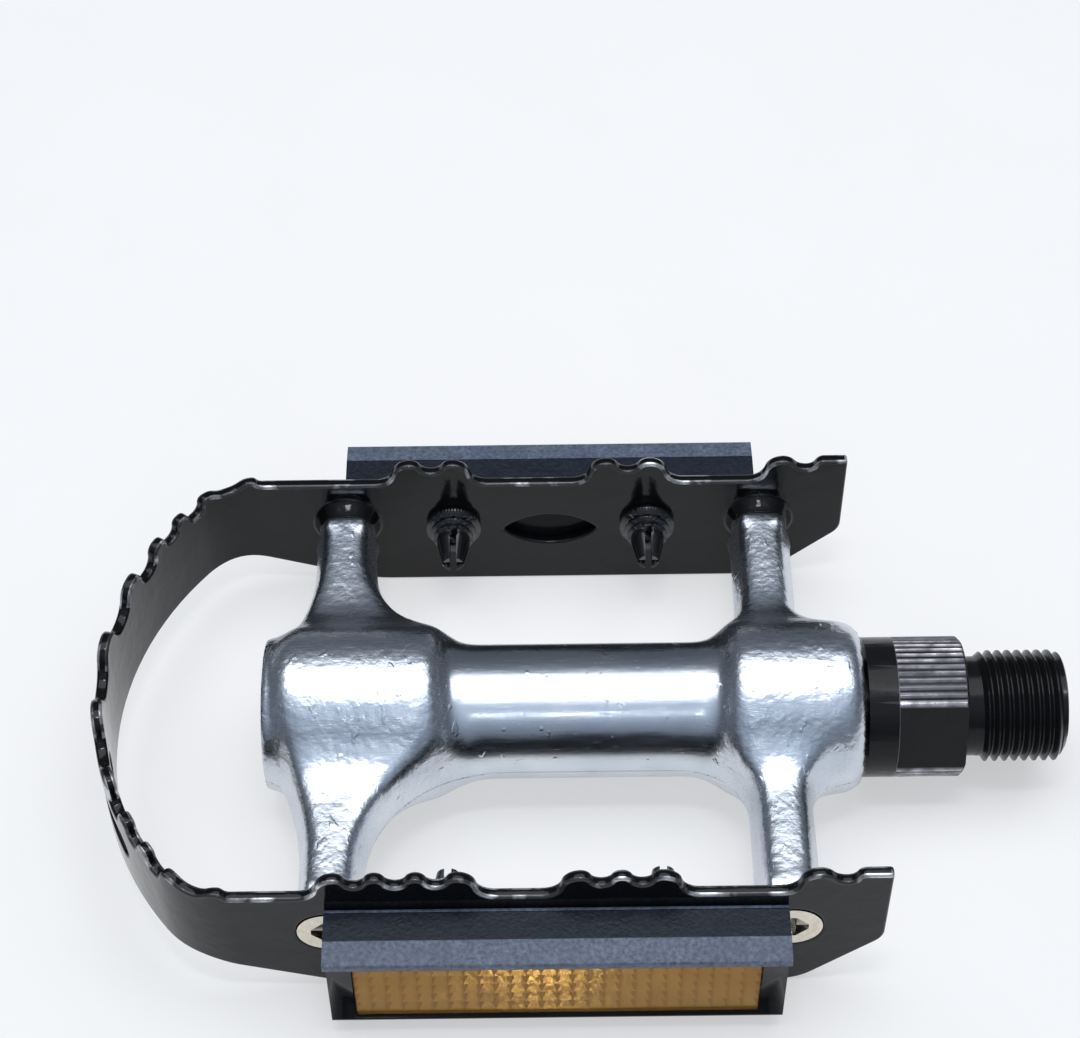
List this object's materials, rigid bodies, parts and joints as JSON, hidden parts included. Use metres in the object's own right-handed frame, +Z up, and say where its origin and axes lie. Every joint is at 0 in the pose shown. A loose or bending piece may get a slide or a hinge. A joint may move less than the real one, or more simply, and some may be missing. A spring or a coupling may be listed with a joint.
{
  "type": "bicycle pedal",
  "caption": "Bicycle cage pedal: a cast aluminium body in a toothed black steel cage with amber side reflectors, turning on a black threaded spindle with ball bearings.",
  "frame": {"origin": "middle of the spindle's shoulder, where the crank arm's face stops", "axes": "+X along the spindle out of its threaded end, +Y to the rear, +Z up"},
  "size_m": [0.1236, 0.0816, 0.0237],
  "materials": {
    "cast_aluminium": "tumbled casting, satin with fine scratches",
    "black_enamel": "gloss black enamel on pressed steel",
    "nickel_screw": "nickel plate, satin",
    "black_plastic": "moulded black plastic with a fine grain",
    "amber_lens": "amber prismatic reflector plastic",
    "blackened_steel": "blackened machined steel",
    "bearing_steel": "hardened bright steel with a film of grease",
    "seal_rubber": "moulded black rubber"
  },
  "bodies": {
    "pedal_body": {"body": "cast_aluminium", "cage": "black_enamel", "cage_screws": "nickel_screw", "front_reflector_housing": "black_plastic", "front_reflector_lens": "amber_lens", "rear_reflector_housing": "black_plastic", "rear_reflector_lens": "amber_lens", "inboard_cup": "bearing_steel", "outboard_cup": "bearing_steel", "dust_cap": "black_plastic", "inboard_seal": "seal_rubber"},
    "spindle": {"spindle": "blackened_steel", "adjusting_cone": "bearing_steel", "lock_washer": "bearing_steel", "locknut": "bearing_steel"},
    "inboard_ball_ring": {"inboard_ball_01": "bearing_steel", "inboard_ball_02": "bearing_steel", "inboard_ball_03": "bearing_steel", "inboard_ball_04": "bearing_steel", "inboard_ball_05": "bearing_steel", "inboard_ball_06": "bearing_steel", "inboard_ball_07": "bearing_steel", "inboard_ball_08": "bearing_steel", "inboard_ball_09": "bearing_steel", "inboard_ball_10": "bearing_steel", "inboard_ball_11": "bearing_steel"},
    "outboard_ball_ring": {"outboard_ball_01": "bearing_steel", "outboard_ball_02": "bearing_steel", "outboard_ball_03": "bearing_steel", "outboard_ball_04": "bearing_steel", "outboard_ball_05": "bearing_steel", "outboard_ball_06": "bearing_steel", "outboard_ball_07": "bearing_steel", "outboard_ball_08": "bearing_steel", "outboard_ball_09": "bearing_steel", "outboard_ball_10": "bearing_steel"}
  },
  "joints": [
    {"name": "spindle_spin", "type": "hinge", "parent": "pedal_body", "child": "spindle", "pos_m": [0, 0, 0], "axis": [1, 0, 0], "continuous": true},
    {"name": "inboard_ring_spin", "type": "hinge", "parent": "pedal_body", "child": "inboard_ball_ring", "pos_m": [0, 0, 0], "axis": [1, 0, 0], "continuous": true},
    {"name": "outboard_ring_spin", "type": "hinge", "parent": "pedal_body", "child": "outboard_ball_ring", "pos_m": [0, 0, 0], "axis": [1, 0, 0], "continuous": true}
  ],
  "couplings": [
    {"joint": "inboard_ring_spin", "follows": "spindle_spin", "ratio": 0.41},
    {"joint": "outboard_ring_spin", "follows": "spindle_spin", "ratio": 0.403}
  ]
}
